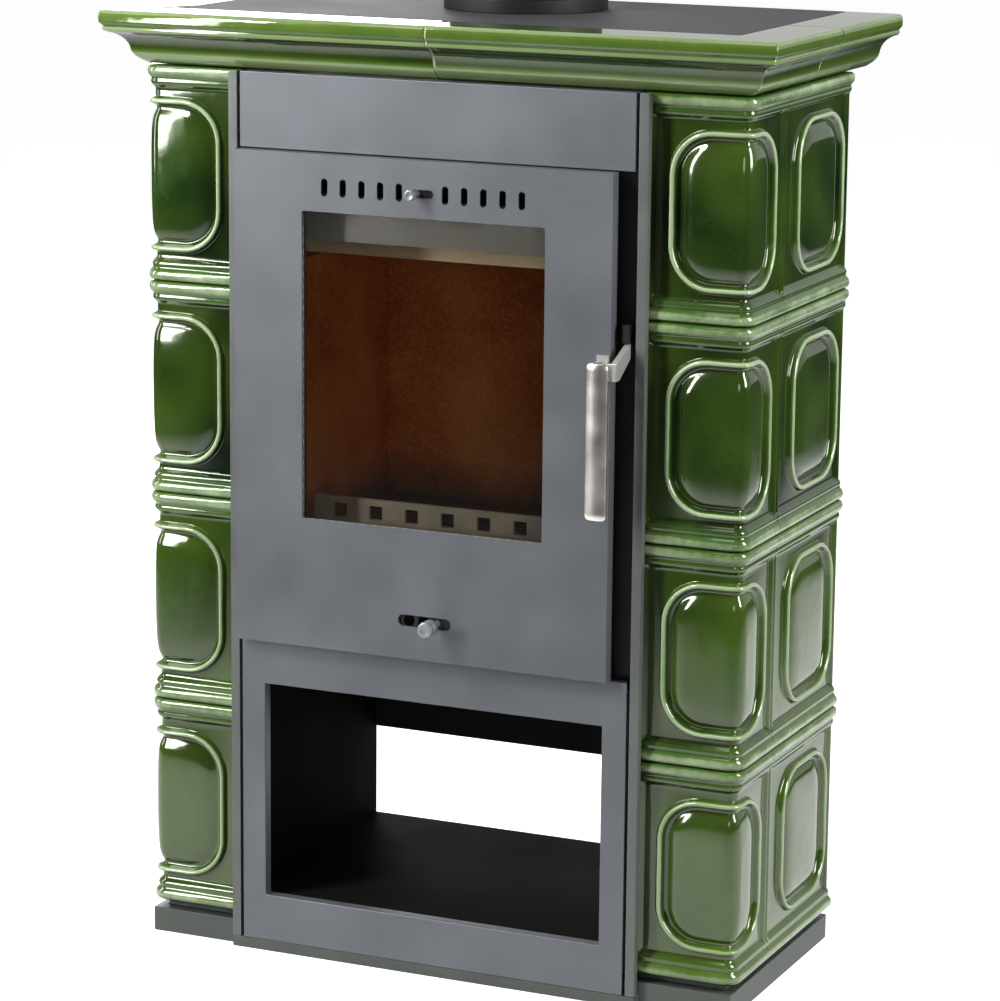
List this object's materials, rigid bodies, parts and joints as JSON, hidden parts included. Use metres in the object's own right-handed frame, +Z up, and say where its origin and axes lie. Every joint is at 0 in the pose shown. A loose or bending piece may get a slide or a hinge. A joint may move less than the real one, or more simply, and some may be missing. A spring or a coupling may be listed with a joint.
{
  "type": "tiled stove",
  "caption": "Free-standing tiled stove with glazed relief tiles, a cornice, a hinged glass fire door, air slides and an open log bay.",
  "frame": {"origin": "on the floor, under the middle of the tiled body", "axes": "+Z up, the door faces -Y, +X to the right seen from the front"},
  "size_m": [0.724, 0.3877, 1.012],
  "materials": {
    "tile_glaze": "glossy green glaze, darker in the recesses",
    "cornice_glaze": "glossy green glaze",
    "front_steel": "satin heatproof grey paint",
    "edge_steel": "satin grey",
    "top_steel": "matt grey",
    "carcass_steel": "matt black",
    "black_steel": "matt black",
    "firebox_steel": "matt, heat tinted",
    "firebrick": "rough lining board",
    "cast_iron": "as cast",
    "zinc_steel": "zinc plated",
    "glass": "clear ceramic glass",
    "rope": "knitted glass fibre",
    "chrome": "polished"
  },
  "bodies": {
    "stove_body": {"left_corner_tile_1": "tile_glaze", "left_corner_tile_2": "tile_glaze", "left_corner_tile_3": "tile_glaze", "left_corner_tile_4": "tile_glaze", "left_side_tile_1": "tile_glaze", "left_side_tile_2": "tile_glaze", "left_side_tile_3": "tile_glaze", "left_side_tile_4": "tile_glaze", "right_corner_tile_1": "tile_glaze", "right_corner_tile_2": "tile_glaze", "right_corner_tile_3": "tile_glaze", "right_corner_tile_4": "tile_glaze", "right_side_tile_1": "tile_glaze", "right_side_tile_2": "tile_glaze", "right_side_tile_3": "tile_glaze", "right_side_tile_4": "tile_glaze", "cornice_front_left": "cornice_glaze", "cornice_front_right": "cornice_glaze", "cornice_side_left": "cornice_glaze", "cornice_side_right": "cornice_glaze", "header_panel": "front_steel", "log_bay_front": "front_steel", "edge_strips": "edge_steel", "top_plate": "top_steel", "base_plinth": "top_steel", "carcass_sides": "carcass_steel", "carcass_back": "carcass_steel", "carcass_top": "carcass_steel", "log_bay_floor": "carcass_steel", "firebox_floor_plate": "carcass_steel", "tile_rails": "carcass_steel", "flue_collar": "black_steel", "firebox_front_frame": "black_steel", "hinge_brackets": "black_steel", "latch_catch": "black_steel", "firebox_shell": "firebox_steel", "firebox_shelves": "firebox_steel", "air_wash_deflector": "firebox_steel", "fire_bricks": "firebrick", "baffle": "firebrick", "grate": "cast_iron", "log_retainer": "cast_iron", "ash_pan": "zinc_steel", "hinge_pins": "zinc_steel"},
    "door": {"door_panel": "front_steel", "door_rope_frame": "zinc_steel", "door_rope_seal": "rope", "door_glass": "glass", "glass_gasket": "rope", "glass_retainers": "zinc_steel", "glass_screws": "zinc_steel", "slide_guides": "zinc_steel", "handle_bracket": "chrome", "handle_pin": "chrome"},
    "handle": {"handle_grip": "chrome", "handle_hook": "chrome"},
    "upper_slide": {"upper_air_slide": "zinc_steel", "upper_air_knob": "chrome"},
    "lower_slide": {"lower_air_slide": "zinc_steel", "lower_air_knob": "chrome"}
  },
  "joints": [
    {"name": "door_swing", "type": "hinge", "parent": "stove_body", "child": "door", "pos_m": [-0.2065, -0.1615, 0.586], "axis": [0, 0, -1], "range_deg": [0, 110]},
    {"name": "handle_turn", "type": "hinge", "parent": "door", "child": "handle", "pos_m": [0.18825, -0.183, 0.649], "axis": [-1, 0, 0], "range_deg": [0, 35]},
    {"name": "upper_air", "type": "slide", "parent": "door", "child": "upper_slide", "axis": [1, 0, 0], "range_m": [-0.0022, 0.0142]},
    {"name": "lower_air", "type": "slide", "parent": "door", "child": "lower_slide", "axis": [1, 0, 0], "range_m": [-0.0392, 0.0112]}
  ]
}
